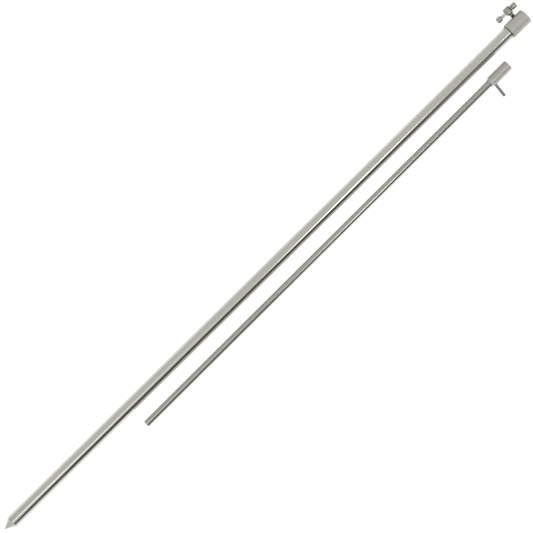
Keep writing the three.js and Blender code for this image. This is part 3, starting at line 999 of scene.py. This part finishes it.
def lying(node):
    """Foot, length and radius of a round piece that lies along the rod's axis, from its box.

    The box is length x |axis_x| + 2 radius |axis_y| long, and as high as the piece is thick.
    """
    low, high, centre = box_mm(node)
    radius = (high[2] - low[2]) / 2
    length = (high[0] - low[0] - 2 * radius * abs(rod_axis[1])) / abs(rod_axis[0])
    return centre - rod_axis * length / 2, length, radius


rod_foot, rod_length, rod_radius = lying("inner_rod")
head_foot, head_length, head_radius = lying("rod_head")
print(f"rod: {rod_length:.1f} mm long and {2 * rod_radius:.1f} mm across; "
      f"head: {head_length:.1f} mm and {2 * head_radius:.1f} mm")

# %% [markdown]
# A pin stands out of the head as a peg for the finger. It leans a little towards the foot, and
# since the head lies on the ground, it droops until the rim of its end lies there too. Head and rod
# are cross-drilled together for it, so one drill, made from the pin's own line, cuts both.

# %% Where the pin goes
PIN_RADIUS = 1.75
PIN_REACH = 25.5
PIN_ABOVE_HEAD_FOOT = 6.2
PIN_LEAN_DEG = 4.0
PIN_FAR_WALL_LEFT = 0.9
PIN_EDGE = 0.4
PIN_GAP = 0.1

# The rim of the pin's end is hypot(rim_along, PIN_RADIUS) from the rod's axis, and it has to come
# down by the head's radius. The pin's own axis falls less steeply, as the rim lies below it.
rim_along = PIN_REACH - PIN_EDGE
fall = (np.arcsin(head_radius / np.hypot(rim_along, PIN_RADIUS))
        - np.arctan2(PIN_RADIUS, rim_along))
lean = np.radians(PIN_LEAN_DEG)
droop = np.arcsin(np.sin(fall) / np.cos(lean))
beside = np.cross([0, 0, 1], rod_axis)
pin_along = (-np.sin(lean) * rod_axis - np.cos(lean) * np.cos(droop) * beside
             - np.cos(lean) * np.sin(droop) * np.array([0, 0, 1]))
pin_on_axis = head_foot + PIN_ABOVE_HEAD_FOOT * rod_axis
pin_far = head_radius - PIN_FAR_WALL_LEFT


def pin_drill():
    """A bit for the pin's hole, a little wider than the pin."""
    size = PIN_RADIUS + PIN_GAP
    return drill_bit([(-pin_far - PIN_GAP, size), (head_radius + OVERRUN, size)],
                     pin_on_axis, pin_along)


print(f"the pin leans {PIN_LEAN_DEG} degrees and droops {np.degrees(droop):.1f} degrees")

# %% [markdown]
# The rod and the plug in its foot come next, and then the pin, a plain bar with broken ends. The
# rod is made as the tube was, from an outline that closes on itself, and the plug and the pin as
# the bar was.

# %% Rod, foot plug and pin
ROD_WALL = 1.0
ROD_EDGE = 0.25
PLUG_GAP = 0.25
PLUG_EDGE = 0.4

rod_bore = rod_radius - ROD_WALL
rod = turned("polished_rod", eased([
    corner(0, rod_bore, ROD_EDGE),
    corner(0, rod_radius, ROD_EDGE),
    corner(rod_length, rod_radius, TUBE_EDGE),
    corner(rod_length, rod_bore, TUBE_EDGE),
], closed=True), rod_foot, rod_axis, closed=True)
drill(rod, [pin_drill()])
finish_piece(rod, "inner_rod", polished_rod)

plug_foot, plug_length, _ = lying("rod_foot_plug")
plug_radius = rod_bore - PLUG_GAP
plug = turned("foot_plug", eased([
    corner(0, 0),
    corner(0, plug_radius, PLUG_EDGE),
    corner(plug_length, plug_radius, PLUG_EDGE),
    corner(plug_length, 0),
]), plug_foot, rod_axis, SMALL_SIDES)
finish_piece(plug, "rod_foot_plug", bright_along)

pin = turned("side_pin_peg", eased([
    corner(-pin_far, 0),
    corner(-pin_far, PIN_RADIUS - PIN_EDGE, FINE_EDGE),
    corner(PIN_EDGE - pin_far, PIN_RADIUS, FINE_EDGE),
    corner(PIN_REACH - PIN_EDGE, PIN_RADIUS, FINE_EDGE),
    corner(PIN_REACH, PIN_RADIUS - PIN_EDGE, FINE_EDGE),
    corner(PIN_REACH, 0),
]), pin_on_axis, pin_along, SMALL_SIDES)
finish_piece(pin, "side_pin", drawn_pin)

# %% [markdown]
# The head is bored from below for the rod and has a blind socket in its top, tapped 3/8 in BSF, the
# thread that rod rests and alarms share. The socket ends in the cone of the drill's point. Its
# thread could be cut with a Boolean, from a screw made for it, but the stud's formula serves here
# too: a positive depth widens the bore where a negative one narrows the shaft.

# %% Head with its tapped socket
HEAD_BORE_DEPTH = 14.5
HEAD_SKIRT_LENGTH = 1.8
HEAD_SKIRT_WALL = 0.4
HEAD_TOP_CHAMFER = 0.6
SOCKET_RADIUS = 4.2
SOCKET_BLIND_DEPTH = 16.0
SOCKET_MOUTH_CHAMFER = 0.8
SOCKET_PITCH = 25.4 / 20
SOCKET_THREAD_DEPTH = 0.56
SOCKET_THREAD_LENGTH = 13.0
DRILL_POINT_DEG = 118

socket_floor = head_length - SOCKET_BLIND_DEPTH
drill_point = SOCKET_RADIUS / np.tan(np.radians(DRILL_POINT_DEG / 2))
head_bore = rod_radius + SOCKET_GAP
head_outline = eased([
    corner(HEAD_BORE_DEPTH, 0),
    corner(HEAD_BORE_DEPTH, head_bore),
    *skirted_foot(head_bore, head_radius, HEAD_SKIRT_WALL, HEAD_SKIRT_LENGTH),
    corner(head_length - HEAD_TOP_CHAMFER, head_radius, CHAMFER_EDGE),
    corner(head_length, head_radius - HEAD_TOP_CHAMFER),
    corner(head_length, SOCKET_RADIUS + SOCKET_MOUTH_CHAMFER),
    corner(head_length - SOCKET_MOUTH_CHAMFER, SOCKET_RADIUS, FINE_EDGE),
    corner(socket_floor, SOCKET_RADIUS, FINE_EDGE),
    corner(socket_floor - drill_point, 0),
])
cut_into_socket = helix(SOCKET_RADIUS, head_length - SOCKET_THREAD_LENGTH, head_length,
                        SOCKET_PITCH, SOCKET_THREAD_DEPTH, SOCKET_PITCH)
head = turned("rod_head_socket", ringed(head_outline, SOCKET_RADIUS, SOCKET_PITCH),
              head_foot, rod_axis, thread=cut_into_socket)
drill(head, [pin_drill()])
finish_piece(head, "rod_head", satin_head)
refinish(head, polished_rod, head_foot, rod_axis, (0, HEAD_SKIRT_LENGTH))
